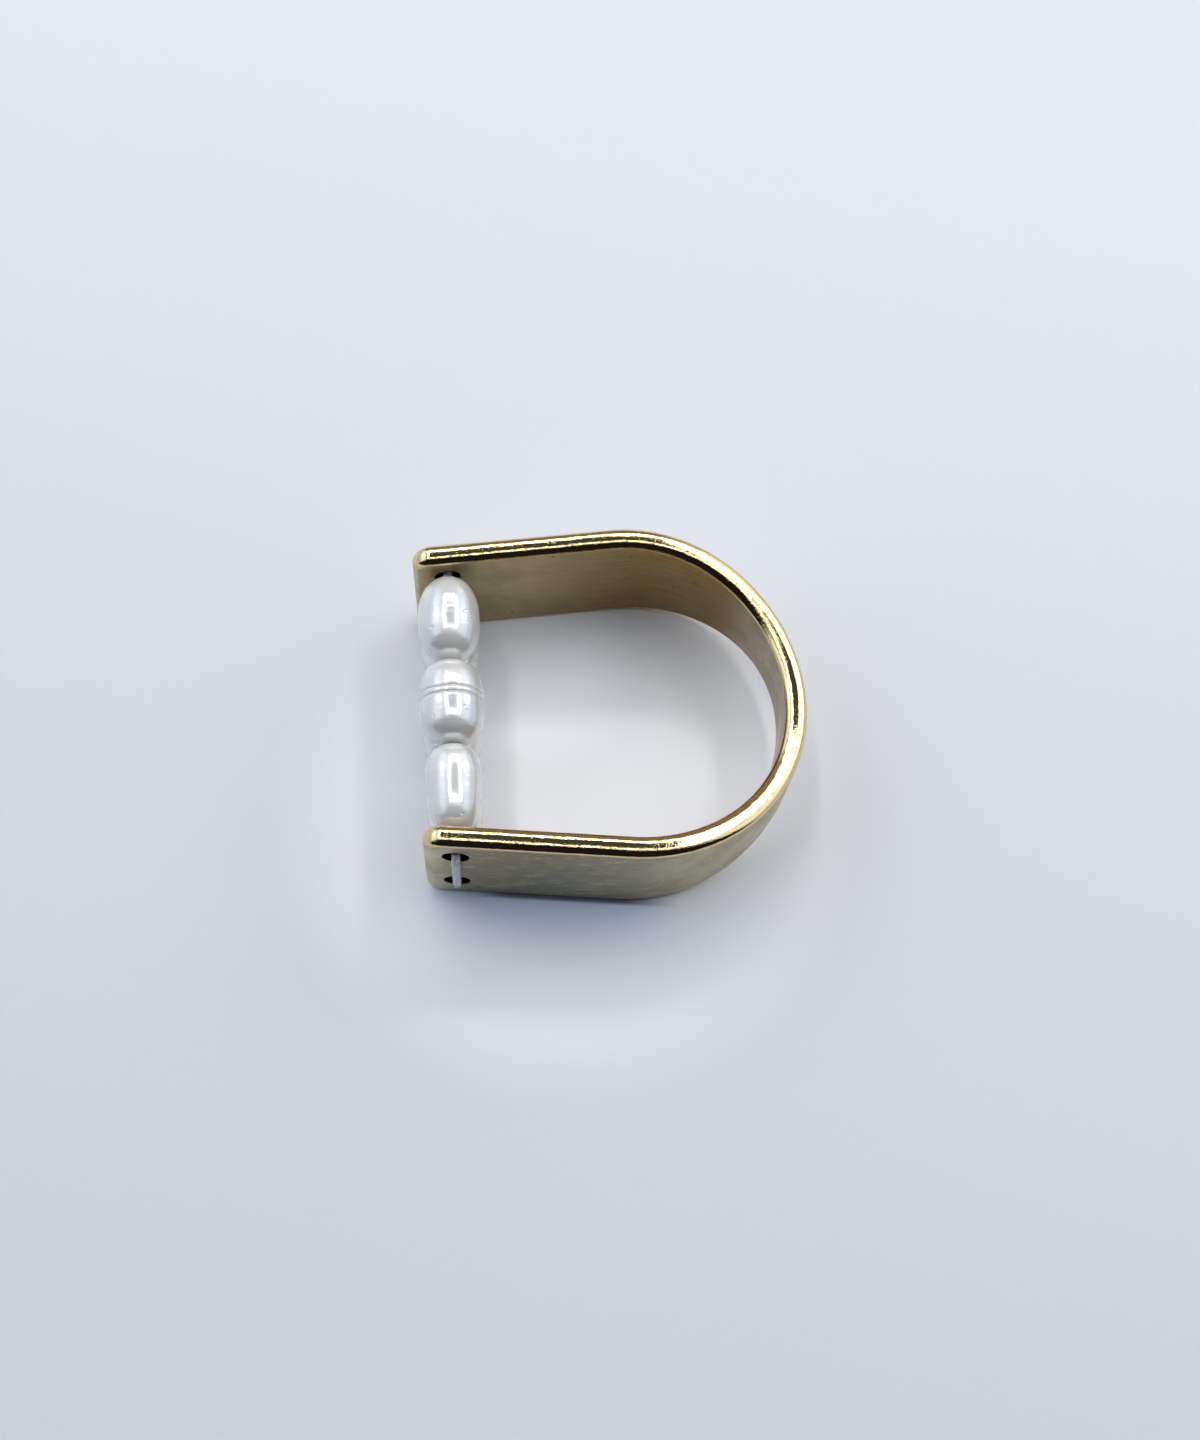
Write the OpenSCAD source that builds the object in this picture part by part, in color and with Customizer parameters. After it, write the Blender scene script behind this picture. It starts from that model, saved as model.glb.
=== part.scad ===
// A pearl ring. A gold band is bent to an open loop with a round arch and two straight arms,
// and two rows of three rice pearls are strung on one clear thread between the arms' tips.
// The ring lies on its side. +X points to the crown, +Y to the longer arm and +Z runs across
// the band. The origin is at the middle of the bottom. All sizes are in millimetres.

/* [Band] */
// Clear width of the arch, across the finger
inner_w = 18; // [16:0.5:20]
// Thickness of the metal
metal_t = 1.3; // [1:0.05:1.5]
// Height of the blunt curve that rounds each rim
rim_h = 0.4; // [0.3:0.02:0.6]
// Width of the band along the arms
arm_w = 8.9; // [8.6:0.1:10]
// Width of the band at the crown
crown_w = 4.4; // [4:0.1:8]
// Length of the arm on the far side, from the arch to its tip
far_arm_l = 12; // [11.5:0.05:13]
// Length of the arm on the near side
near_arm_l = 11.55; // [11.3:0.05:13]
// Angle by which each arm leans in towards the pearls
arm_lean = 5; // [4:0.1:6]
// Radius of the tips' corners, seen from the side
tip_r = 1.1; // [0.8:0.1:1.4]
// Distance past the arch's centre line at which the band still has its full width
taper_lead = 2.2; // [0:0.1:2.4]

/* [Pearl rows] */
// Distance from the arch's centre back to the rows
row_back = 10.65; // [10.3:0.05:10.8]
// Angle of the rows to the Y axis, as they meet the longer arm nearer its tip
row_turn = 0.7; // [0:0.1:2]
// Height of the lower row
row_low_z = 2.4; // [2.1:0.05:2.6]
// Height between the two rows
row_step = 4.5; // [4.1:0.05:4.6]
// Diameter of the holes in the arms
hole_d = 1.5; // [1.3:0.05:1.6]
// Diameter of the hole through each pearl
pearl_bore_d = 0.75; // [0.7:0.05:0.9]
// Gap left between a pearl and the arm next to it
end_gap = 0.12; // [0.1:0.02:0.2]
// Gap left between two pearls
pearl_gap = 0.05; // [0.04:0.01:0.1]

/* [Thread] */
// Diameter of the clear thread
thread_d = 0.52; // [0.4:0.02:0.56]
// Radius of the thread's bends outside the holes
bend_r = 0.5; // [0.45:0.05:0.6]
// Gap left between the thread and the outside of the arms
thread_gap = 0.06; // [0.05:0.01:0.1]

/* [Hidden] */

GOLD = [0.83, 0.66, 0.33];
CLEAR = [0.82, 0.86, 0.9, 0.6];
PEARL = [0.93, 0.92, 0.9];

// Columns: name, diameter, length beside the others of its row, fullness (2 is an ellipse, more
// is a barrel) and how much thicker the far end is than the middle, as a share of the diameter
PEARL_SHAPES = [
    ["pearl_upper_far", 3.69, 5.41, 2.35, -0.04],
    ["pearl_upper_middle", 3.84, 5.18, 2.75, -0.01],
    ["pearl_upper_near", 3.22, 5.25, 2.8, 0.1],
    ["pearl_lower_far", 3.56, 5.3, 2.4, 0.03],
    ["pearl_lower_middle", 3.64, 5.33, 2.5, -0.03],
    ["pearl_lower_near", 3.3, 5.22, 2.4, 0.03]
];
DIAMETER = 1;
LENGTH = 2;
FULLNESS = 3;
TAPER = 4;
ROW_COUNT = 3;

// The arch's centre line, and its centre on the X axis that brings the box's middle to zero
arch_r = inner_w / 2 + metal_t / 2;
tip_reach = arch_r * sin(arm_lean) + far_arm_l * cos(arm_lean);
arch_x = (tip_reach - arch_r - metal_t / 2 + metal_t / 2 * (1 - cos(arm_lean))) / 2;
taper_drop = (arm_w - crown_w) / 2;
side_angle = 90 + arm_lean;

// Distances along a row from its middle to the arms' inner and outer faces
inner_off = inner_w / 2 - row_back * sin(arm_lean);
outer_off = inner_off + metal_t;
far_in = inner_off / cos(arm_lean - row_turn);
near_in = inner_off / cos(arm_lean + row_turn);
far_out = outer_off / cos(arm_lean - row_turn);
near_out = outer_off / cos(arm_lean + row_turn);

// Steps of the band's mesh
ARCH_STEPS = 64;
CORNER_POINTS = 7;
TIP_ANGLES = [10, 26, 42, 58, 74, 90];
PEARL_STEPS = 26;

// Share of the metal's thickness that the rims' curve takes up. A narrow flat is left on top.
RIM_SHARE = 0.9;

// A station of the band: place, direction of its normal, half thickness and half width
function arch_station(angle) =
    let (
        past = max(0, arch_r * cos(angle) + taper_lead) / (arch_r + taper_lead),
        half_w = arm_w / 2 - taper_drop * pow(past, 2)
    )
    [[arch_x + arch_r * cos(angle), arch_r * sin(angle)], angle, metal_t / 2, half_w];

function tip_station(side, arm_l, angle) =
    let (
        normal = side * side_angle,
        in = tip_r * (1 - cos(angle)),
        along = arm_l - in,
        start = [arch_x + arch_r * cos(normal), arch_r * sin(normal)],
        place = start + along * [-cos(arm_lean), -side * sin(arm_lean)],
        half_t = metal_t / 2,
        inside = max(0, half_t - in)
    )
    [place, normal, sqrt(pow(half_t, 2) - pow(inside, 2)), arm_w / 2 - tip_r * (1 - sin(angle))];

stations = concat(
    [for (a = TIP_ANGLES) tip_station(1, far_arm_l, a)],
    [for (i = [0:ARCH_STEPS]) arch_station(side_angle * (1 - 2 * i / ARCH_STEPS))],
    [for (i = [len(TIP_ANGLES) - 1:-1:0]) tip_station(-1, near_arm_l, TIP_ANGLES[i])]
);

// One point of a station's rounded outline, as [across the metal, up]
function outline_point(i, half_t, half_w) =
    let (
        corner = floor(i / CORNER_POINTS),
        angle = 90 * (corner + (i % CORNER_POINTS) / (CORNER_POINTS - 1)),
        reach = RIM_SHARE * half_t,
        side = corner == 0 || corner == 3 ? 1 : -1,
        up = corner < 2 ? 1 : -1
    )
    [side * (half_t - reach) + reach * cos(angle), up * (half_w - rim_h) + rim_h * sin(angle)];

OUTLINE_POINTS = 4 * CORNER_POINTS;

function station_points(s) = [
    for (i = [0:OUTLINE_POINTS - 1])
        let (p = outline_point(i, s[2], s[3]))
        [s[0][0] + p[0] * cos(s[1]), s[0][1] + p[0] * sin(s[1]), arm_w / 2 + p[1]]
];

// A closed skin round a list of stations, with flat ends
module skin_stations(list) {
    n = OUTLINE_POINTS;
    last = len(list) - 1;
    points = [for (s = list) each station_points(s)];
    walls = [
        for (k = [0:last - 1], i = [0:n - 1])
            let (j = (i + 1) % n)
            [k * n + i, (k + 1) * n + i, (k + 1) * n + j, k * n + j]
    ];
    start = [for (i = [0:n - 1]) i];
    end = [for (i = [n - 1:-1:0]) last * n + i];
    polyhedron(points, concat([start], walls, [end]));
}

// Puts what follows on a row: its own Z axis runs along the row to the far arm
module on_row(z) {
    translate([arch_x - row_back, 0, z])
        rotate([0, 0, row_turn])
        rotate([-90, 0, 0])
        children();
}

// The gold strip, drilled through both arms along each row
module band() {
    color(GOLD)
    difference() {
        skin_stations(stations);
        for (z = [row_low_z, row_low_z + row_step]) {
            on_row(z) cylinder(h = 3 * inner_w, d = hole_d, center = true, $fn = 48);
        }
    }
}

// Half of a pearl's outline beside its bore, from the near end to the far end
function pearl_outline(shape, length) =
    let (
        points = [
            for (i = [1:PEARL_STEPS - 1])
                let (
                    a = -90 + 180 * i / PEARL_STEPS,
                    v = sign(a) * pow(abs(sin(a)), 2 / shape[FULLNESS]),
                    r = shape[DIAMETER] / 2 * pow(cos(a), 2 / shape[FULLNESS]) * (1 + shape[TAPER] * v)
                )
                [max(r, pearl_bore_d / 2 + 0.02), v * length / 2]
        ]
    )
    concat([[pearl_bore_d / 2, -length / 2]], points, [[pearl_bore_d / 2, length / 2]]);

function row_of(index) = [for (i = [0:ROW_COUNT - 1]) PEARL_SHAPES[index * ROW_COUNT + i]];

// The lengths at which the pearls of a row fill the space between the arms
function row_lengths(row) =
    let (
        gaps = 2 * end_gap + (ROW_COUNT - 1) * pearl_gap,
        total = row[0][LENGTH] + row[1][LENGTH] + row[2][LENGTH]
    )
    [for (shape = row) shape[LENGTH] * (far_in + near_in - gaps) / total];

// The middle of a pearl, as a distance along its row
function pearl_place(lengths, i) =
    i == 0
        ? far_in - end_gap - lengths[0] / 2
        : pearl_place(lengths, i - 1) - lengths[i - 1] / 2 - pearl_gap - lengths[i] / 2;

module pearl(index) {
    row = floor(index / ROW_COUNT);
    place = index % ROW_COUNT;
    lengths = row_lengths(row_of(row));
    z = row == 0 ? row_low_z + row_step : row_low_z;
    color(PEARL)
    on_row(z)
        translate([0, 0, pearl_place(lengths, place)])
        rotate_extrude($fn = 72)
        polygon(pearl_outline(PEARL_SHAPES[index], lengths[place]));
}

module pearl_upper_far() pearl(0);
module pearl_upper_middle() pearl(1);
module pearl_upper_near() pearl(2);
module pearl_lower_far() pearl(3);
module pearl_lower_middle() pearl(4);
module pearl_lower_near() pearl(5);

// One bend of the thread: it leaves the row outwards and turns towards the other row
module thread_bend() {
    rotate([90, 0, 0])
        rotate_extrude(angle = 90, $fn = 48)
        translate([bend_r, 0])
        circle(d = thread_d, $fn = 32);
}

// Whole hundredths of a millimetre, so that the thread's straight runs and bends meet exactly
function hundredths(length) = round(100 * length) / 100;

// The closed loop of thread, through both rows and down the outside of each arm
module thread() {
    reach_far = hundredths(far_out + thread_gap + thread_d / 2);
    reach_near = hundredths(near_out + thread_gap + thread_d / 2);
    run = reach_far + reach_near - 2 * bend_r;
    rise = row_step - 2 * bend_r;
    color(CLEAR)
    translate([arch_x - row_back, 0, row_low_z])
    rotate([0, 0, row_turn])
    rotate([0, 0, 90])
    union() {
        for (z = [0, row_step]) {
            translate([bend_r - reach_near, 0, z])
                rotate([0, 90, 0])
                cylinder(h = run, d = thread_d, $fn = 32);
        }
        for (x = [-reach_near, reach_far]) {
            translate([x, 0, bend_r]) cylinder(h = rise, d = thread_d, $fn = 32);
        }
        translate([reach_far - bend_r, 0, row_step - bend_r]) thread_bend();
        translate([bend_r - reach_near, 0, row_step - bend_r]) rotate([0, -90, 0]) thread_bend();
        translate([bend_r - reach_near, 0, bend_r]) rotate([0, -180, 0]) thread_bend();
        translate([reach_far - bend_r, 0, bend_r]) rotate([0, -270, 0]) thread_bend();
    }
}

band();
thread();
pearl_upper_far();
pearl_upper_middle();
pearl_upper_near();
pearl_lower_far();
pearl_lower_middle();
pearl_lower_near();
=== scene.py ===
"""A pearl ring: the band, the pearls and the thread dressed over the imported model, in metres."""
import math

import bmesh
import bpy
from mathutils import Matrix, Vector

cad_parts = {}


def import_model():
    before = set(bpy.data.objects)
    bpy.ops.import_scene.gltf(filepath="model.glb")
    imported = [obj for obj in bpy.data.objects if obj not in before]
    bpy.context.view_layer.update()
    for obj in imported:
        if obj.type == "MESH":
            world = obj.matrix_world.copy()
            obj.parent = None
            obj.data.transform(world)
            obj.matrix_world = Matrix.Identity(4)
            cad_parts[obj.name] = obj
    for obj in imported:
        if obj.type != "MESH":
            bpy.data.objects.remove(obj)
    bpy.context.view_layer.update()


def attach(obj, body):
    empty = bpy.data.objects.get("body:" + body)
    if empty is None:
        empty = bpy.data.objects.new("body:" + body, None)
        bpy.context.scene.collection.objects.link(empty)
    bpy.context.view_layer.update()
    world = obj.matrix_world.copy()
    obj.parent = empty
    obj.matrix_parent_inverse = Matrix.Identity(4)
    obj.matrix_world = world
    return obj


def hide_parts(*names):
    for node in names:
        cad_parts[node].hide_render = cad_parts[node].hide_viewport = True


MM = 0.001

# Sizes of the band
INNER_W = 18 * MM
METAL_T = 1.3 * MM
RIM_H = 0.4 * MM
RIM_SHARE = 0.9
ARM_W = 8.9 * MM
CROWN_W = 4.4 * MM
FAR_ARM_L = 12 * MM
NEAR_ARM_L = 11.55 * MM
ARM_LEAN = math.radians(5)
TIP_R = 1.1 * MM
TAPER_LEAD = 2.2 * MM

# Sizes of the rows and of the thread
ROW_BACK = 10.65 * MM
ROW_TURN = math.radians(0.7)
ROW_LOW_Z = 2.4 * MM
ROW_STEP = 4.5 * MM
HOLE_D = 1.5 * MM
HOLE_EDGE = 0.05 * MM
BORE_D = 0.75 * MM
END_GAP = 0.12 * MM
PEARL_GAP = 0.05 * MM
THREAD_D = 0.52 * MM
BEND_R = 0.5 * MM
THREAD_GAP = 0.06 * MM

# What follows from them
ARCH_R = INNER_W / 2 + METAL_T / 2
TIP_REACH = ARCH_R * math.sin(ARM_LEAN) + FAR_ARM_L * math.cos(ARM_LEAN)
ARCH_X = (TIP_REACH - ARCH_R - METAL_T / 2 * math.cos(ARM_LEAN)) / 2
SIDE_ANGLE = math.pi / 2 + ARM_LEAN
MID_Z = ARM_W / 2
ARCH_MIDDLE = Vector((ARCH_X, 0, MID_Z))
ROW_X = ARCH_X - ROW_BACK
ROW_WAY = Vector((-math.sin(ROW_TURN), math.cos(ROW_TURN), 0))
ROW_HIGH_Z = ROW_LOW_Z + ROW_STEP
INNER_OFF = INNER_W / 2 - ROW_BACK * math.sin(ARM_LEAN)
OUTER_OFF = INNER_OFF + METAL_T
FAR_IN = INNER_OFF / math.cos(ARM_LEAN - ROW_TURN)
NEAR_IN = INNER_OFF / math.cos(ARM_LEAN + ROW_TURN)
FAR_OUT = OUTER_OFF / math.cos(ARM_LEAN - ROW_TURN)
NEAR_OUT = OUTER_OFF / math.cos(ARM_LEAN + ROW_TURN)

# Each arm's side and its length: the far one is on the side of +Y
ARMS = {1: FAR_ARM_L, -1: NEAR_ARM_L}

# Name, diameter, length, fullness, taper, and grooves as (place towards the far end, depth, width)
UPPER_PEARLS = [
    ("pearl_upper_far", 3.69, 5.41, 2.35, -0.04, []),
    ("pearl_upper_middle", 3.84, 5.18, 2.75, -0.01, [(0.06, 0.08, 0.08), (0.44, 0.065, 0.07)]),
    ("pearl_upper_near", 3.22, 5.25, 2.8, 0.1, []),
]
LOWER_PEARLS = [
    ("pearl_lower_far", 3.56, 5.3, 2.4, 0.03, [(-0.9, 0.03, 0.1)]),
    ("pearl_lower_middle", 3.64, 5.33, 2.5, -0.03, []),
    ("pearl_lower_near", 3.3, 5.22, 2.4, 0.03, [(0.7, 0.04, 0.12)]),
]

# The unevenness of the pearls: the size of its lumps and its height
LUMP_W = 1.9 * MM
LUMP_H = 0.05 * MM

# How finely the meshes are divided
ARCH_STEPS = 120
EDGE_SEGMENTS = 10
HOLE_SIDES = 64
HOLE_EDGE_SEGMENTS = 3
PEARL_RINGS = 108
PEARL_SIDES = 64
THREAD_SIDES = 24
BEND_STEPS = 10

# An edge sharper than this is rounded, at the rims and at the holes' mouths
RIM_ANGLE = math.radians(40)
MOUTH_ANGLE = math.radians(60)

# Distances below which two things lie at one place: loosely, for merging, and closely
NEAR = 1e-5
ONE_POINT = 1e-6
SAME = 1e-7

# The radius in millimetres at which the gold's pattern is laid round the arch
GRAIN_R = 9.5

# Tones of the gold. The satin faces' tones lie below the polished rims' partly as the satin's own
# tone and partly as painted shade, and they change along the band as painted light and shade
INNER_ARMS = (0.43, 0.33, 0.16, 1)
INNER_ARCH = (0.27, 0.15, 0.02, 1)
INNER_CROWN = (0.7, 0.62, 0.52, 1)
OUTER_ARMS = (0.22, 0.21, 0.13, 1)
OUTER_CROWN = (0.56, 0.52, 0.35, 1)
OUTER_TIPS = (0.6, 0.56, 0.38, 1)
GOLD_CLOUD = (0.27, 0.21, 0.1, 1)
GOLD_STREAK = (0.6, 0.53, 0.36, 1)
GOLD_SPECKLE = (0.36, 0.27, 0.14, 1)
GOLD_MARK = (0.7, 0.65, 0.44, 1)
GOLD_PIT = (0.16, 0.11, 0.06, 1)
GOLD_RIM = (0.8, 0.62, 0.33, 1)
# Painted shade, laid dark over the bores of the drilled holes
HOLE_PAINTED_SHADE = (0.01, 0.008, 0.005, 1)

# Tones of the pearls and of the thread
NACRE_COOL = (0.71, 0.715, 0.71, 1)
NACRE_WARM = (0.75, 0.74, 0.715, 1)
NACRE_RING = (0.62, 0.625, 0.62, 1)
NACRE_SCATTER = (1.0, 0.97, 0.92)
NYLON_CLEAR = (0.97, 0.98, 1.0, 1)
NYLON_RUBBED = (0.92, 0.93, 0.95, 1)

# Tones of the floor: the paper's pale tone with painted light and shade laid over it
FLOOR_FRONT = (0.545, 0.555, 0.585, 1)
FLOOR_BACK = (0.755, 0.76, 0.79, 1)
FLOOR_PAINTED_LIGHT_ROUND_RING = (0.78, 0.79, 0.82, 1)
FLOOR_PAINTED_LIGHT_BY_FAR_ARM = (0.92, 0.95, 0.99, 1)
FLOOR_PAINTED_COOL_SHADE = (0.66, 0.75, 0.95, 1)
FLOOR_PAINTED_CONTACT_SHADOW = (0.04, 0.04, 0.05, 1)

# The floor's pools of painted light, in millimetres: middle, where they start to fade, where they
# end
PAINTED_LIGHT_ROUND_RING = ((-2.5, -4.0), 11.0, 19.0)
PAINTED_LIGHT_BY_FAR_ARM = ((-5.0, 5.0), 2.0, 8.0)

# Where the painted shadow line under the near arm fades, on both sides of the metal's middle
PAINTED_CONTACT_FADE = (0.72, 0.98)

# Tones of the room
LAMP_FRONT = (4.2, 4.2, 4.2, 1)
LAMP_BACK = (11.0, 10.9, 10.7, 1)
LAMP_INSIDE = (0.06, 0.07, 0.065, 1)
WALLS = (0.55, 0.64, 0.8, 1)
WALLS_BESIDE = (1.15, 1.25, 1.4, 1)
WALL_BEHIND = (0.26, 0.21, 0.18, 1)
WALL_IN_FRONT = (0.012, 0.012, 0.014, 1)
BACKDROP = (0.74, 0.77, 0.83, 1)
ROOM_STRENGTH = 1.01

# The frame of light overhead, in degrees: how far it lies to the right, and its edges' softness
LAMP_RIGHT = 7.0
LAMP_SOFT = 1.5

# Its outline and its hole: middle towards the back, half the width, half the length
LAMP_OUTLINE = (20.0, 25.0, 24.0)
LAMP_HOLE = (19.5, 19.5, 17.5)

# The paler walls at both sides, in degrees off this middle: where they begin and where they end
SIDES_MIDDLE = 3.0
SIDES_BEGIN = (34.0, 40.0)
SIDES_END = (62.0, 70.0)

# The two soft lamps
SOFTBOXES = {"left_softbox": (-0.42, 0.24, 0.43), "right_softbox": (0.46, 0.23, 0.3)}
SOFTBOX_SIZE = (0.12, 0.2)
SOFTBOX_POWER = 0.16

# The camera: its turn from the front, its height and its roll in degrees, its aim and its reach
CAMERA_TURN = -10.364
CAMERA_HEIGHT = 68.0
CAMERA_ROLL = 8.381
CAMERA_AIM = Vector((-0.587, -0.188, 4.1)) * MM
CAMERA_REACH = 106.2 * MM
CAMERA_LENS = 44.326
CAMERA_CLIP = (0.002, 10)

FLOOR_SIZE = 1.6


class Value:
    """An output in a node tree. Arithmetic on it adds Math nodes."""

    def __init__(self, nodes, socket):
        self.nodes = nodes
        self.socket = socket

    def math(self, operation, *others):
        inputs = dict(enumerate([self, *others]))
        return self.nodes.add("ShaderNodeMath", {"operation": operation}, inputs)

    def __add__(self, other):
        return self.math("ADD", other)

    def __sub__(self, other):
        return self.math("SUBTRACT", other)

    def __mul__(self, other):
        return self.math("MULTIPLY", other)

    def __rsub__(self, other):
        return self.nodes.add("ShaderNodeMath", {"operation": "SUBTRACT"}, {0: other, 1: self})

    __radd__ = __add__
    __rmul__ = __mul__


class Nodes:
    """A node tree, to which each node is added in one call."""

    def __init__(self, tree):
        self.tree = tree
        tree.nodes.clear()

    def add(self, kind, settings=None, inputs=None, output=0):
        """Adds a node, sets it up, fills its sockets and gives back one of its outputs."""
        node = self.tree.nodes.new(kind)
        for name, value in (settings or {}).items():
            setattr(node, name, value)
        for key, value in (inputs or {}).items():
            if isinstance(value, Value):
                self.tree.links.new(value.socket, node.inputs[key])
            else:
                node.inputs[key].default_value = value
        return Value(self, node.outputs[output]) if node.outputs else None

    def place_mm(self):
        """The point on the piece, in millimetres."""
        place = self.add("ShaderNodeTexCoord", output="Object")
        inputs = {0: place, "Scale": 1 / MM}
        return self.add("ShaderNodeVectorMath", {"operation": "SCALE"}, inputs)

    def split(self, vector):
        first = self.add("ShaderNodeSeparateXYZ", None, {0: vector})
        return [Value(self, socket) for socket in first.socket.node.outputs]

    def join(self, x, y, z):
        return self.add("ShaderNodeCombineXYZ", None, {0: x, 1: y, 2: z})

    def noise(self, place, scale=1.0, detail=2.0, roughness=0.5):
        inputs = {"Vector": place, "Scale": scale, "Detail": detail, "Roughness": roughness}
        return self.add("ShaderNodeTexNoise", None, inputs)

    def rise(self, value, low, high, start=0.0, end=1.0):
        """A smooth step from start to end as the value goes from low to high."""
        settings = {"interpolation_type": "SMOOTHSTEP"}
        inputs = {0: value, 1: low, 2: high, 3: start, 4: end}
        return self.add("ShaderNodeMapRange", settings, inputs)

    def fall(self, value, low, high):
        """A smooth step from one to zero as the value goes from low to high."""
        return self.rise(value, low, high, start=1.0, end=0.0)

    def mix(self, share, first, second):
        inputs = {0: share, 6: first, 7: second}
        return self.add("ShaderNodeMix", {"data_type": "RGBA"}, inputs, output=2)

    def coat(self, tone, *coats):
        """Lays more tones over the first one, each given as (share, tone)."""
        for share, other in coats:
            tone = self.mix(share, tone, other)
        return tone

    def bump(self, height, distance, normal=None):
        inputs = {"Distance": distance, "Height": height}
        if normal is not None:
            inputs["Normal"] = normal
        return self.add("ShaderNodeBump", None, inputs)

    def finish(self, **inputs):
        """The Principled shader with these sockets, as the surface."""
        named = {name.replace("_", " "): value for name, value in inputs.items()}
        shader = self.add("ShaderNodeBsdfPrincipled", None, named)
        self.add("ShaderNodeOutputMaterial", None, {"Surface": shader})


def new_material(name):
    material = bpy.data.materials.new(name)
    material.use_nodes = True
    return material, Nodes(material.node_tree)


def plated_gold():
    """Pale yellow gold: satin faces with fine marks along the band, and polished rims; painted
    light and shade in the faces' tones, and painted shade in the holes.
    """
    material, nodes = new_material("plated_gold")
    place = nodes.place_mm()
    x, y, z = nodes.split(place)
    facing_x, facing_y, facing_z = nodes.split(nodes.add("ShaderNodeNewGeometry", output="Normal"))
    from_arch = x - ARCH_X / MM
    rim = nodes.rise(facing_z.math("ABSOLUTE"), 0.12, 0.5)
    outside = nodes.rise(from_arch * facing_x + y * facing_y, -2.0, 2.0)
    along = y.math("ARCTAN2", from_arch) * GRAIN_R

    drawn = nodes.join(along * 0.22, z * 5.0, outside * 7.0)
    streaks = nodes.noise(drawn, detail=4.0, roughness=0.6)
    bent = nodes.noise(place, 0.7) * 2.5
    wavy = nodes.join(along * 0.55 + bent, z * 2.4 + bent, 4.0)
    marks = nodes.noise(wavy, detail=3.0, roughness=0.6)
    marks = nodes.fall((marks - 0.5).math("ABSOLUTE"), 0.0, 0.045)
    marks = marks * nodes.rise(nodes.noise(place, 0.8, detail=1.0), 0.4, 0.58)
    ripple = nodes.noise(place, 0.55, roughness=0.45)
    speckle = nodes.noise(place, 6.0, roughness=0.6)
    mottle = nodes.noise(place, 13.0, detail=1.0)
    pits = nodes.rise(nodes.noise(place, 1.7, detail=1.0, roughness=0.4), 0.73, 0.78)
    clouds = nodes.noise(place, 0.35, detail=3.0, roughness=0.6)

    # Painted light and shade: the faces' tones change from the arms to the arch, the crown and the
    # tips
    inner = nodes.mix(nodes.rise(x, -7.0, 3.0), INNER_ARMS, INNER_ARCH)
    inner = nodes.mix(nodes.rise(x, 6.5, 10.0) * 0.8, inner, INNER_CROWN)
    outer = nodes.mix(nodes.rise(x, -5.0, 8.0), OUTER_ARMS, OUTER_CROWN)
    outer = nodes.mix(nodes.fall(x, -10.6, -8.6), outer, OUTER_TIPS)
    tone = nodes.coat(
        nodes.mix(outside, inner, outer),
        (nodes.rise(clouds, 0.38, 0.62) * 0.55, GOLD_CLOUD),
        (nodes.rise(streaks, 0.4, 0.7) * 0.2, GOLD_STREAK),
        (nodes.rise(speckle, 0.35, 0.7) * 0.25, GOLD_SPECKLE),
        (marks * outside * 0.5, GOLD_MARK),
        (pits * 0.6, GOLD_PIT),
        (rim, GOLD_RIM),
        (painted_hole_shade(nodes, x, y, z), HOLE_PAINTED_SHADE),
    )
    satin = 0.27 + nodes.rise(streaks, 0.3, 0.7) * 0.1 + nodes.rise(clouds, 0.3, 0.7) * 0.05
    polish = 0.035 + nodes.rise(speckle, 0.4, 0.7) * 0.03
    roughness = satin + (polish - satin) * rim

    worked = (marks * 0.4 + streaks * 0.6) * (0.3 + outside * 0.7) * (1 - rim)
    normal = nodes.bump(worked, 0.05 * MM)
    normal = nodes.bump(ripple, 0.04 * MM, normal)
    normal = nodes.bump(mottle * rim, 0.009 * MM, normal)
    nodes.finish(Base_Color=tone, Metallic=1.0, Roughness=roughness, Normal=normal)
    return material


def painted_hole_shade(nodes, x, y, z):
    """One inside the drilled holes, where shade is painted dark over the bore, and zero elsewhere
    on the band.
    """
    across = (x - ROW_X / MM) * math.cos(ROW_TURN) + y * math.sin(ROW_TURN)
    from_low = (z - ROW_LOW_Z / MM).math("ABSOLUTE")
    from_high = (z - ROW_HIGH_Z / MM).math("ABSOLUTE")
    up = from_low.math("MINIMUM", from_high)
    mouth = (HOLE_D / 2 + HOLE_EDGE) / MM
    return nodes.fall((across * across + up * up).math("SQRT"), mouth - 0.01, mouth + 0.01)


def nacre():
    """White nacre: a lustrous skin with faint growth rings round each pearl."""
    material, nodes = new_material("nacre")
    place = nodes.place_mm()
    x, y, z = nodes.split(place)
    rings = nodes.noise(nodes.join(x * 0.15, y * 2.6, z * 0.15), detail=3.0, roughness=0.6)
    clouds = nodes.noise(place, 0.6)
    skin = nodes.noise(place, 9.0)
    dimples = nodes.rise(nodes.noise(place, 1.6, detail=1.0, roughness=0.3), 0.7, 0.78)

    tone = nodes.mix(nodes.rise(clouds, 0.35, 0.65), NACRE_COOL, NACRE_WARM)
    tone = nodes.mix(nodes.rise(rings, 0.45, 0.75) * 0.3, tone, NACRE_RING)
    normal = nodes.bump(rings + clouds * 0.6, 0.03 * MM)
    normal = nodes.bump(dimples * -1.0 + skin * 0.08, 0.03 * MM, normal)
    nodes.finish(
        Base_Color=tone,
        Metallic=0.3,
        Roughness=0.2 + nodes.rise(clouds, 0.3, 0.7) * 0.04,
        Normal=normal,
        IOR=1.6,
        Subsurface_Weight=0.4,
        Subsurface_Radius=NACRE_SCATTER,
        Subsurface_Scale=0.8 * MM,
        Coat_Weight=1.0,
        Coat_IOR=1.6,
        Coat_Roughness=0.03,
    )
    return material


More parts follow.
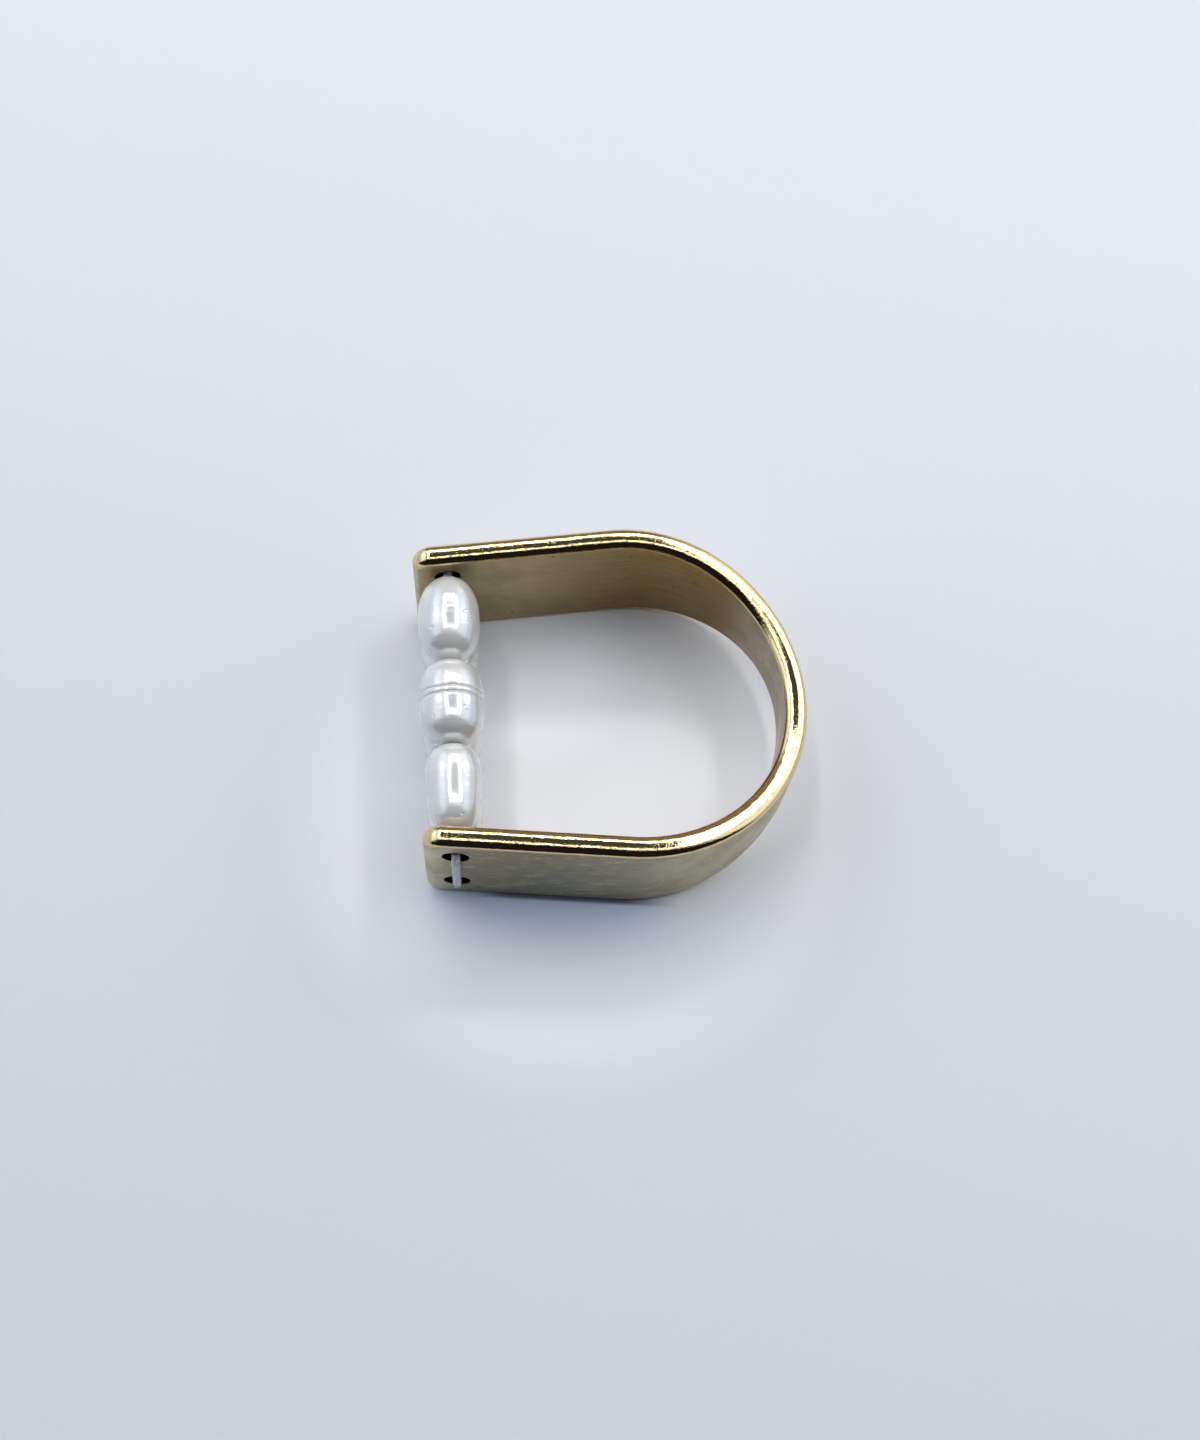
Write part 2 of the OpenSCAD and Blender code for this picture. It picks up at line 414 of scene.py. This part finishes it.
def clear_nylon():
    """Clear nylon line, a little frosted where it has rubbed."""
    material, nodes = new_material("clear_nylon")
    rubbed = nodes.rise(nodes.noise(nodes.place_mm(), 3.0), 0.4, 0.7)
    nodes.finish(
        Base_Color=nodes.mix(rubbed, NYLON_CLEAR, NYLON_RUBBED),
        Roughness=0.06 + rubbed * 0.14,
        Normal=nodes.bump(rubbed, 0.01 * MM),
        IOR=1.53,
        Transmission_Weight=0.6,
    )
    return material


def painted_light_pool(nodes, x, y, middle, begin, end):
    """One in a round pool of painted light on the floor, which fades from one distance to the
    other.
    """
    off_x = x - middle[0]
    off_y = y - middle[1]
    return nodes.fall((off_x * off_x + off_y * off_y).math("SQRT"), begin, end)


def pale_floor():
    """Matt pale paper, with painted light and shade: paler to the back and round the ring, with a
    bluish painted shade and a dark painted shadow line before the near arm.
    """
    material, nodes = new_material("pale_floor")
    place = nodes.place_mm()
    x, y, _ = nodes.split(place)
    grain = nodes.noise(place, 0.8, detail=3.0, roughness=0.6)
    # Painted light: the floor grows paler from the front towards the back
    painted_light_to_back = nodes.rise(y + x * 0.25, -75.0, 75.0)

    # How far a point lies in front of the near arm's middle line
    arch_x = ARCH_X / MM
    before = y * -math.sin(SIDE_ANGLE) + (x - arch_x) * math.cos(SIDE_ANGLE) - ARCH_R / MM
    beside_arm = nodes.fall(x, arch_x - 1.0, arch_x + 3.0)
    # Painted shade: a bluish tint on the floor just before the near arm
    painted_cool_shade = nodes.fall(before, 0.5, 5.0) * nodes.rise(before, -0.5, 0.0) * beside_arm
    painted_cool_shade = painted_cool_shade * nodes.rise(x, -14.0, -6.0)
    # Painted shadow: a dark line on the floor under the near arm's foot
    painted_contact_shadow = nodes.fall(before.math("ABSOLUTE"), *PAINTED_CONTACT_FADE) * beside_arm
    painted_contact_shadow = painted_contact_shadow * nodes.rise(x, -9.5, -6.0) * 0.8
    tone = nodes.coat(
        nodes.mix(painted_light_to_back, FLOOR_FRONT, FLOOR_BACK),
        # Painted light, round the ring and by the far arm
        (painted_light_pool(nodes, x, y, *PAINTED_LIGHT_ROUND_RING), FLOOR_PAINTED_LIGHT_ROUND_RING),
        (painted_light_pool(nodes, x, y, *PAINTED_LIGHT_BY_FAR_ARM), FLOOR_PAINTED_LIGHT_BY_FAR_ARM),
        (painted_cool_shade, FLOOR_PAINTED_COOL_SHADE),
        (painted_contact_shadow, FLOOR_PAINTED_CONTACT_SHADOW),
    )
    nodes.finish(Base_Color=tone, Roughness=0.9 + grain * 0.05, Specular_IOR_Level=0.1)
    return material


def select_only(piece):
    """Leaves one object selected and active."""
    bpy.ops.object.select_all(action="DESELECT")
    piece.select_set(True)
    bpy.context.view_layer.objects.active = piece


def edit(piece, mode="VERT"):
    """Opens a piece in edit mode with nothing selected."""
    select_only(piece)
    bpy.ops.object.mode_set(mode="EDIT")
    bpy.ops.mesh.select_mode(type=mode)
    bpy.ops.mesh.select_all(action="DESELECT")


def pick(piece, kind, wanted):
    """Selects just the points, edges or faces that the test wants."""
    bpy.ops.mesh.select_all(action="DESELECT")
    mesh = bmesh.from_edit_mesh(piece.data)
    for part in getattr(mesh, kind):
        if wanted(part):
            part.select_set(True)
    bmesh.update_edit_mesh(piece.data)


def close_edit():
    bpy.ops.object.mode_set(mode="OBJECT")


def stretch_up(scale):
    """Stretches the mesh in edit mode across the band, about its middle."""
    bpy.ops.mesh.select_all(action="SELECT")
    bpy.ops.transform.resize(value=(1, 1, scale), center_override=(0, 0, MID_Z))


def clean_up(threshold):
    """Merges doubled points in edit mode and turns every face outwards."""
    bpy.ops.mesh.select_all(action="SELECT")
    bpy.ops.mesh.remove_doubles(threshold=threshold)
    bpy.ops.mesh.normals_make_consistent(inside=False)


def apply_place(piece):
    """Puts the object's place and turn into its mesh."""
    select_only(piece)
    bpy.ops.object.transform_apply(location=True, rotation=True, scale=True)


def modify(piece, kind, **settings):
    """Adds a modifier to a piece, sets it up and applies it."""
    select_only(piece)
    bpy.ops.object.modifier_add(type=kind)
    modifier = piece.modifiers[-1]
    for name, value in settings.items():
        setattr(modifier, name, value)
    bpy.ops.object.modifier_apply(modifier=modifier.name)


def smooth(piece, degrees):
    """Shades a piece smooth, apart from edges sharper than this."""
    select_only(piece)
    bpy.ops.object.shade_smooth_by_angle(angle=math.radians(degrees))


def dress(piece, material, node):
    """Gives a piece its material and its place in the part."""
    piece.data.materials.clear()
    piece.data.materials.append(material)
    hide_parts(node)
    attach(piece, "root")


def arm_way(side):
    """The direction in which an arm runs from the arch to its tip."""
    return Vector((-math.cos(ARM_LEAN), -side * math.sin(ARM_LEAN), 0))


def arm_start(side):
    """The middle of the face where an arm leaves the arch."""
    x = ARCH_X + ARCH_R * math.cos(SIDE_ANGLE)
    return Vector((x, side * ARCH_R * math.sin(SIDE_ANGLE), MID_Z))


def make_strip():
    """The band's bare strip: its end face, spun round the arch and drawn out into both arms."""
    bpy.ops.object.select_all(action="DESELECT")
    bpy.ops.mesh.primitive_plane_add(size=1, location=arm_start(1))
    strip = bpy.context.object
    strip.name = "gold_band"
    strip.scale = (METAL_T, ARM_W, 1)
    strip.rotation_euler = (math.pi / 2, 0, SIDE_ANGLE)
    apply_place(strip)
    edit(strip, "FACE")
    bpy.ops.mesh.select_all(action="SELECT")
    bpy.ops.mesh.spin(
        steps=ARCH_STEPS,
        angle=2 * SIDE_ANGLE,
        center=ARCH_MIDDLE,
        axis=(0, 0, 1),
    )
    bpy.ops.mesh.select_all(action="SELECT")
    bpy.ops.mesh.remove_doubles(threshold=ONE_POINT)
    for side, length in ARMS.items():
        start = arm_start(side)
        pick(strip, "faces", lambda f: (f.calc_center_median() - start).length < NEAR)
        bpy.ops.mesh.extrude_region_move(TRANSFORM_OT_translate={"value": arm_way(side) * length})
    close_edit()
    return strip


def half_width(x):
    """Half the band's width at a place on the arch."""
    past = max(0, x - ARCH_X + TAPER_LEAD) / (ARCH_R + TAPER_LEAD)
    return ARM_W / 2 - (ARM_W - CROWN_W) / 2 * past**2


def on_ray(point, angle):
    """Whether a point lies straight out from the arch's middle at this angle."""
    off = point - ARCH_MIDDLE
    out = off.x * math.cos(angle) + off.y * math.sin(angle)
    across = off.y * math.cos(angle) - off.x * math.sin(angle)
    return out > 0 and abs(across) < NEAR


def narrow_crown(strip):
    """Pulls the rims in towards the crown, one ring of points round the strip at a time."""
    edit(strip, "VERT")
    for i in range(ARCH_STEPS + 1):
        angle = SIDE_ANGLE * (1 - 2 * i / ARCH_STEPS)
        x = ARCH_X + ARCH_R * math.cos(angle)
        if x + TAPER_LEAD <= ARCH_X:
            continue
        pick(strip, "verts", lambda v: on_ray(v.co, angle))
        scale = half_width(x) / (ARM_W / 2)
        bpy.ops.transform.resize(value=(1, 1, scale), center_override=(x, 0, MID_Z))
    close_edit()


def round_edges(strip):
    """Rounds the tips' corners, then every rim."""
    edit(strip, "EDGE")
    tips = [arm_start(side) + arm_way(side) * length for side, length in ARMS.items()]

    def is_corner(edge):
        """An edge through the metal at a corner of a tip."""
        a, b = (point.co for point in edge.verts)
        if abs(a.z - b.z) > ONE_POINT or (a - b).length > 1.1 * METAL_T:
            return False
        return any(abs(((a + b) / 2 - tip).length - ARM_W / 2) < NEAR for tip in tips)

    pick(strip, "edges", is_corner)
    bpy.ops.mesh.bevel(offset=TIP_R, segments=EDGE_SEGMENTS, affect="EDGES")
    reach = RIM_SHARE * METAL_T / 2
    stretch_up(reach / RIM_H)
    bpy.ops.mesh.select_all(action="DESELECT")
    bpy.ops.mesh.edges_select_sharp(sharpness=RIM_ANGLE)
    bpy.ops.mesh.bevel(offset=reach, segments=EDGE_SEGMENTS, affect="EDGES", clamp_overlap=False)
    stretch_up(RIM_H / reach)
    clean_up(SAME)
    close_edit()


def row_distance(point, z):
    """How far a point lies from a row's axis."""
    off = point - Vector((ROW_X, 0, z))
    return (off - ROW_WAY * off.dot(ROW_WAY)).length


def drill(strip):
    """Drills both rows' holes through the arms and breaks their edges a little."""
    rows = (ROW_LOW_Z, ROW_HIGH_Z)
    for z in rows:
        bpy.ops.object.select_all(action="DESELECT")
        bpy.ops.mesh.primitive_cylinder_add(
            vertices=HOLE_SIDES,
            radius=HOLE_D / 2,
            depth=INNER_W * 1.5,
            location=(ROW_X, 0, z),
            rotation=(math.pi / 2, 0, ROW_TURN),
        )
        bit = bpy.context.object
        apply_place(bit)
        modify(strip, "BOOLEAN", operation="DIFFERENCE", solver="EXACT", object=bit)
        bpy.data.objects.remove(bit)

    def is_mouth(edge):
        """An edge round a hole's mouth."""
        for point in edge.verts:
            if min(abs(row_distance(point.co, z) - HOLE_D / 2) for z in rows) > NEAR:
                return False
        return len(edge.link_faces) == 2 and edge.calc_face_angle(0) > MOUTH_ANGLE

    edit(strip, "EDGE")
    pick(strip, "edges", is_mouth)
    bpy.ops.mesh.bevel(offset=HOLE_EDGE, segments=HOLE_EDGE_SEGMENTS, affect="EDGES")
    close_edit()


def make_band(gold):
    band = make_strip()
    narrow_crown(band)
    round_edges(band)
    drill(band)
    smooth(band, 40)
    modify(band, "WEIGHTED_NORMAL", keep_sharp=True)
    dress(band, gold, "band")


def pearl_radius(place, diameter, length, fullness, taper, grooves):
    """A pearl's radius at a place along its axis, both in millimetres."""
    share = min(1, abs(place) / (length / 2))
    radius = diameter / 2 * (1 - share**fullness) ** (1 / fullness)
    radius *= 1 + taper * place / (length / 2)
    for groove, depth, width in grooves:
        radius -= depth * math.exp(-(((place - groove) / width) ** 2))
    return max(radius, BORE_D / 2 / MM)


def make_pearl(shape, middle, z, material):
    """One rice pearl: a sphere shaped ring by ring, with its ends bridged into a bore."""
    name, *form = shape
    diameter, length = form[:2]
    bpy.ops.object.select_all(action="DESELECT")
    bpy.ops.mesh.primitive_uv_sphere_add(segments=PEARL_SIDES, ring_count=PEARL_RINGS, radius=MM)
    pearl = bpy.context.object
    pearl.name = "nacre_" + name
    edit(pearl, "VERT")
    bpy.ops.mesh.select_all(action="SELECT")
    bpy.ops.transform.resize(value=(diameter / 2, diameter / 2, length / 2))
    for i in range(1, PEARL_RINGS):
        angle = math.pi * (i / PEARL_RINGS - 0.5)
        ring_z = math.sin(angle) * length / 2
        scale = pearl_radius(ring_z, *form) / (math.cos(angle) * diameter / 2)
        pick(pearl, "verts", lambda v: abs(v.co.z - ring_z * MM) < SAME)
        bpy.ops.transform.resize(value=(scale, scale, 1), center_override=(0, 0, ring_z * MM))
    pick(pearl, "verts", lambda v: v.co.xy.length < ONE_POINT)
    bpy.ops.mesh.delete(type="VERT")
    pick(pearl, "edges", lambda e: e.is_boundary)
    bpy.ops.mesh.bridge_edge_loops()
    bpy.ops.mesh.select_all(action="SELECT")
    bpy.ops.mesh.normals_make_consistent(inside=False)
    close_edit()
    pearl.rotation_euler = (-math.pi / 2, 0, ROW_TURN)
    pearl.location = Vector((ROW_X, 0, z)) + ROW_WAY * middle * MM
    apply_place(pearl)
    make_uneven(pearl)
    smooth(pearl, 50)
    dress(pearl, material, name)


def make_uneven(pearl):
    """A few hundredths of a millimetre of unevenness, different on each pearl by its place."""
    lumps = bpy.data.textures.new("growth", "CLOUDS")
    lumps.noise_scale = LUMP_W
    lumps.noise_depth = 1
    modify(
        pearl,
        "DISPLACE",
        texture=lumps,
        texture_coords="LOCAL",
        strength=LUMP_H,
        mid_level=0.5,
    )


def make_row(row, z, material):
    """Sets a row's pearls end to end, stretched to fill the space between the arms."""
    room = FAR_IN + NEAR_IN - 2 * END_GAP - (len(row) - 1) * PEARL_GAP
    stretch = room / MM / sum(shape[2] for shape in row)
    edge = (FAR_IN - END_GAP) / MM
    for name, diameter, length, *rest in row:
        length *= stretch
        make_pearl((name, diameter, length, *rest), edge - length / 2, z, material)
        edge -= length + PEARL_GAP / MM


def make_thread(nylon):
    """The closed loop of line: a ring of points drawn out and spun round four bends."""
    far = FAR_OUT + THREAD_GAP + THREAD_D / 2
    near = -(NEAR_OUT + THREAD_GAP + THREAD_D / 2)
    run = far - near - 2 * BEND_R
    rise = ROW_STEP - 2 * BEND_R
    bpy.ops.object.select_all(action="DESELECT")
    bpy.ops.mesh.primitive_circle_add(
        vertices=THREAD_SIDES,
        radius=THREAD_D / 2,
        location=(far, 0, BEND_R),
    )
    line = bpy.context.object
    line.name = "nylon_line"
    apply_place(line)
    edit(line, "EDGE")
    bpy.ops.mesh.select_all(action="SELECT")
    stretches = [
        ((0, 0, 1), rise, (far - BEND_R, 0, ROW_STEP - BEND_R)),
        ((-1, 0, 0), run, (near + BEND_R, 0, ROW_STEP - BEND_R)),
        ((0, 0, -1), rise, (near + BEND_R, 0, BEND_R)),
        ((1, 0, 0), run, (far - BEND_R, 0, BEND_R)),
    ]
    for way, length, bend in stretches:
        bpy.ops.mesh.extrude_region_move(TRANSFORM_OT_translate={"value": Vector(way) * length})
        bpy.ops.mesh.spin(steps=BEND_STEPS, angle=math.pi / 2, center=bend, axis=(0, 1, 0))
    clean_up(ONE_POINT)
    close_edit()
    line.rotation_euler = (0, 0, math.pi / 2 + ROW_TURN)
    line.location = (ROW_X, 0, ROW_LOW_Z)
    apply_place(line)
    smooth(line, 60)
    dress(line, nylon, "thread")


def make_floor():
    bpy.ops.object.select_all(action="DESELECT")
    bpy.ops.mesh.primitive_plane_add(size=FLOOR_SIZE, location=(0, 0, 0))
    floor = bpy.context.object
    floor.name = "floor"
    floor.data.materials.append(pale_floor())


def light_room():
    """A soft room: an oblong frame of light overhead, brightest at its back, and a dark front."""
    world = bpy.data.worlds.new("room")
    world.use_nodes = True
    bpy.context.scene.world = world
    nodes = Nodes(world.node_tree)
    x, y, z = nodes.split(nodes.add("ShaderNodeTexCoord", output="Generated"))
    degrees = 180 / math.pi
    right = x.math("ARCTAN2", z) * degrees
    back = y.math("ARCTAN2", z) * degrees
    sideways = x.math("ABSOLUTE")

    def panel(middle, half_w, half_l):
        """One inside a panel overhead, of these half sizes in degrees, and zero outside."""
        off_right = (right - LAMP_RIGHT).math("ABSOLUTE")
        off_back = (back - middle).math("ABSOLUTE")
        across = nodes.fall(off_right, half_w - LAMP_SOFT, half_w + LAMP_SOFT)
        return across * nodes.fall(off_back, half_l - LAMP_SOFT, half_l + LAMP_SOFT)

    lamp = nodes.mix(nodes.rise(back, 0.0, 6.0), LAMP_FRONT, LAMP_BACK)
    off_middle = (right - SIDES_MIDDLE).math("ABSOLUTE")
    beside = nodes.rise(off_middle, *SIDES_BEGIN) * nodes.fall(off_middle, *SIDES_END)
    behind = nodes.rise(y - sideways * 0.3, 0.6, 0.75)
    in_front = nodes.rise(y * -1.0 - sideways * 0.25, 0.08, 0.14)
    room = nodes.coat(
        nodes.mix(beside, WALLS, WALLS_BESIDE),
        (behind, WALL_BEHIND),
        (in_front, WALL_IN_FRONT),
        (panel(*LAMP_OUTLINE), lamp),
        (panel(*LAMP_HOLE), LAMP_INSIDE),
        (nodes.add("ShaderNodeLightPath", output="Is Camera Ray"), BACKDROP),
    )
    light = nodes.add("ShaderNodeBackground", None, {"Color": room, "Strength": ROOM_STRENGTH})
    nodes.add("ShaderNodeOutputWorld", None, {"Surface": light})


def add_softbox(name, place):
    """A soft lamp that faces the ring and can't be seen itself."""
    bpy.ops.object.select_all(action="DESELECT")
    bpy.ops.object.light_add(type="AREA", location=place)
    lamp = bpy.context.object
    lamp.name = name
    lamp.data.shape = "RECTANGLE"
    lamp.data.size, lamp.data.size_y = SOFTBOX_SIZE
    lamp.data.energy = SOFTBOX_POWER
    lamp.rotation_euler = (-Vector(place)).to_track_quat("-Z", "Y").to_euler()
    lamp.visible_camera = False


def place_camera():
    """The camera of the photo: high above the near arm, and a little to the pearls' side."""
    turn, height, roll = (math.radians(d) for d in (CAMERA_TURN, CAMERA_HEIGHT, CAMERA_ROLL))
    back = Vector((
        math.sin(turn) * math.cos(height),
        -math.cos(turn) * math.cos(height),
        math.sin(height),
    ))
    right = Vector((math.cos(turn), math.sin(turn), 0))
    up = back.cross(right)
    across = right * math.cos(roll) + up * math.sin(roll)
    upward = up * math.cos(roll) - right * math.sin(roll)
    data = bpy.data.cameras.new("camera")
    data.lens = CAMERA_LENS
    data.clip_start, data.clip_end = CAMERA_CLIP
    camera = bpy.data.objects.new("camera", data)
    bpy.context.scene.collection.objects.link(camera)
    turned = Matrix((across, upward, back)).transposed().to_4x4()
    camera.matrix_world = Matrix.Translation(CAMERA_AIM + back * CAMERA_REACH) @ turned
    bpy.context.scene.camera = camera


def main():
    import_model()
    place_camera()
    make_floor()
    light_room()
    for name, place in SOFTBOXES.items():
        add_softbox(name, place)
    make_band(plated_gold())
    pearl_skin = nacre()
    make_row(UPPER_PEARLS, ROW_HIGH_Z, pearl_skin)
    make_row(LOWER_PEARLS, ROW_LOW_Z, pearl_skin)
    make_thread(clear_nylon())
    bpy.context.scene.view_settings.view_transform = "Standard"


main()
